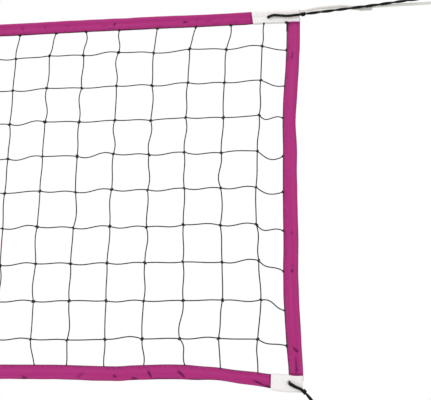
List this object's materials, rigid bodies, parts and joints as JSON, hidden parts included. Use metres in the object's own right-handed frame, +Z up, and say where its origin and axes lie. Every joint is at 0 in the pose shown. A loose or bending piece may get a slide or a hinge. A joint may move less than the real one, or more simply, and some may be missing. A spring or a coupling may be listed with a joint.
{
  "type": "volleyball net on poles",
  "caption": "Knotted volleyball net with coloured edge tapes and white corners, tied between free-standing height-adjustable poles with weighted bases and a headline winch.",
  "frame": {"origin": "on the floor, midway between the two poles, in the plane of the net", "axes": "+X along the net towards the winch pole, +Y away from the front, +Z up"},
  "size_m": [11.45, 0.7, 2.471],
  "materials": {
    "net_twine": "knotted twine",
    "tape_cloth": "coated woven tape, satin",
    "corner_vinyl": "coated cloth, smooth",
    "nickel_eyelet": "nickel plated",
    "headline_rope": "braided rope",
    "tie_rope": "braided rope",
    "base_paint": "powder coat",
    "foot_rubber": "matt",
    "wheel_rubber": "matt",
    "cast_black": "painted casting",
    "mast_aluminium": "anodised, satin",
    "nylon": "moulded nylon",
    "black_plastic": "moulded, fine grain",
    "zinc_steel": "zinc plated"
  },
  "bodies": {
    "root": {"left_base_plate": "base_paint", "right_base_plate": "base_paint", "left_feet": "foot_rubber", "right_feet": "foot_rubber", "left_ballast": "cast_black", "right_ballast": "cast_black", "left_ballast_bolts": "zinc_steel", "right_ballast_bolts": "zinc_steel", "left_sleeve": "base_paint", "right_sleeve": "base_paint", "left_sleeve_bolts": "zinc_steel", "right_sleeve_bolts": "zinc_steel", "left_bushes": "nylon", "right_bushes": "nylon", "left_clamp_collar": "cast_black", "right_clamp_collar": "cast_black", "left_wheel_bracket": "base_paint", "right_wheel_bracket": "base_paint", "left_axle": "zinc_steel", "right_axle": "zinc_steel"},
    "right_mast": {"net_mesh": "net_twine", "top_tape": "tape_cloth", "bottom_tape": "tape_cloth", "left_side_tape": "tape_cloth", "right_side_tape": "tape_cloth", "top_left_patch": "corner_vinyl", "top_right_patch": "corner_vinyl", "bottom_left_patch": "corner_vinyl", "bottom_right_patch": "corner_vinyl", "eyelets": "nickel_eyelet", "corner_hitches": "tie_rope", "pole_hitches": "tie_rope", "headline_rope": "headline_rope", "headline_turns": "headline_rope", "top_left_tie_rope": "tie_rope", "top_right_tie_rope": "tie_rope", "bottom_left_tie_rope": "tie_rope", "bottom_right_tie_rope": "tie_rope", "right_mast": "mast_aluminium", "right_head_fork": "cast_black", "right_pins": "zinc_steel", "right_rope_bracket": "cast_black", "winch_frame": "base_paint", "winch_u_bolts": "zinc_steel"},
    "left_mast": {"left_mast": "mast_aluminium", "left_head_fork": "cast_black", "left_pins": "zinc_steel", "left_rope_bracket": "cast_black"},
    "left_clamp_knob": {"left_clamp_knob": "black_plastic"},
    "right_clamp_knob": {"right_clamp_knob": "black_plastic"},
    "left_front_wheel": {"left_front_wheel": "wheel_rubber"},
    "left_back_wheel": {"left_back_wheel": "wheel_rubber"},
    "right_front_wheel": {"right_front_wheel": "wheel_rubber"},
    "right_back_wheel": {"right_back_wheel": "wheel_rubber"},
    "head_pulley": {"head_pulley": "nylon"},
    "winch_drum": {"winch_drum": "zinc_steel", "winch_ratchet": "base_paint", "crank_arm": "base_paint"},
    "crank_grip": {"crank_grip": "black_plastic"},
    "winch_pawl": {"pawl": "zinc_steel"}
  },
  "joints": [
    {"name": "net_height", "type": "slide", "parent": "root", "child": "right_mast", "axis": [0, 0, 1], "range_m": [-0.19, 0]},
    {"name": "left_mast_height", "type": "slide", "parent": "root", "child": "left_mast", "axis": [0, 0, 1], "range_m": [-0.19, 0]},
    {"name": "right_clamp_turn", "type": "hinge", "parent": "root", "child": "right_clamp_knob", "pos_m": [5.25, -0.085, 0.585], "axis": [0, -1, 0], "range_deg": [0, 720]},
    {"name": "left_clamp_turn", "type": "hinge", "parent": "root", "child": "left_clamp_knob", "pos_m": [-5.25, -0.085, 0.585], "axis": [0, -1, 0], "range_deg": [0, 720]},
    {"name": "pulley_spin", "type": "hinge", "parent": "right_mast", "child": "head_pulley", "pos_m": [5.2755, 0, 2.4035], "axis": [0, 1, 0], "continuous": true},
    {"name": "winch_crank", "type": "hinge", "parent": "right_mast", "child": "winch_drum", "pos_m": [5.3343, 0, 1.2], "axis": [0, 1, 0], "continuous": true},
    {"name": "crank_grip_spin", "type": "hinge", "parent": "winch_drum", "child": "crank_grip", "pos_m": [5.3343, -0.122, 1.04], "axis": [0, 1, 0], "continuous": true},
    {"name": "pawl_lift", "type": "hinge", "parent": "right_mast", "child": "winch_pawl", "pos_m": [5.3683, 0.036, 1.24], "axis": [0, 1, 0], "range_deg": [-9, 24]},
    {"name": "right_front_wheel_spin", "type": "hinge", "parent": "root", "child": "right_front_wheel", "pos_m": [5.675, -0.3, 0.054], "axis": [0, 1, 0], "continuous": true},
    {"name": "right_back_wheel_spin", "type": "hinge", "parent": "root", "child": "right_back_wheel", "pos_m": [5.675, 0.3, 0.054], "axis": [0, 1, 0], "continuous": true},
    {"name": "left_front_wheel_spin", "type": "hinge", "parent": "root", "child": "left_front_wheel", "pos_m": [-5.675, -0.3, 0.054], "axis": [0, 1, 0], "continuous": true},
    {"name": "left_back_wheel_spin", "type": "hinge", "parent": "root", "child": "left_back_wheel", "pos_m": [-5.675, 0.3, 0.054], "axis": [0, 1, 0], "continuous": true}
  ],
  "couplings": [
    {"joint": "left_mast_height", "follows": "net_height", "ratio": 1}
  ]
}
